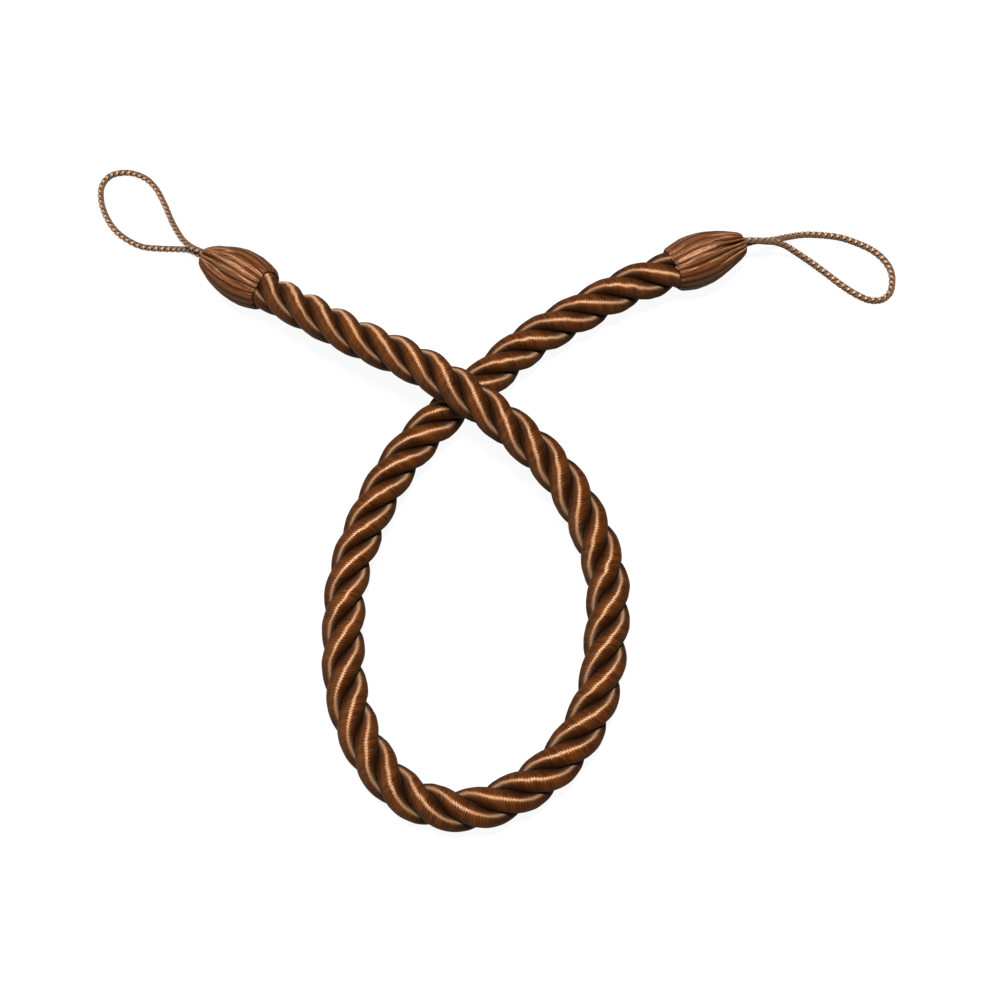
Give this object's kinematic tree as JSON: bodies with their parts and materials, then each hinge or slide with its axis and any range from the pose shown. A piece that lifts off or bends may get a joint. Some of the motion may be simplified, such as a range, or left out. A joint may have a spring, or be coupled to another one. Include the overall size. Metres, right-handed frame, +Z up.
{
  "type": "rope curtain tieback",
  "caption": "Laid rope curtain tieback lying in an open, crossing loop, with a ribbed yarn cap and a thin hanging cord loop at each end.",
  "frame": {"origin": "on the surface that the tieback lies on, under the middle of its outline", "axes": "+Z up, +X to the right along the longest side, +Y away from the viewer towards the two caps"},
  "size_m": [0.3574, 0.2985, 0.033],
  "materials": {
    "rope_satin": "satin thread wound over soft strands",
    "cap_yarn": "satin yarn laid lengthwise",
    "loop_cord": "satin plies twisted hard"
  },
  "bodies": {
    "root": {"rope": "rope_satin", "cap_left": "cap_yarn", "cap_right": "cap_yarn", "loop_left": "loop_cord", "loop_right": "loop_cord"}
  },
  "joints": []
}
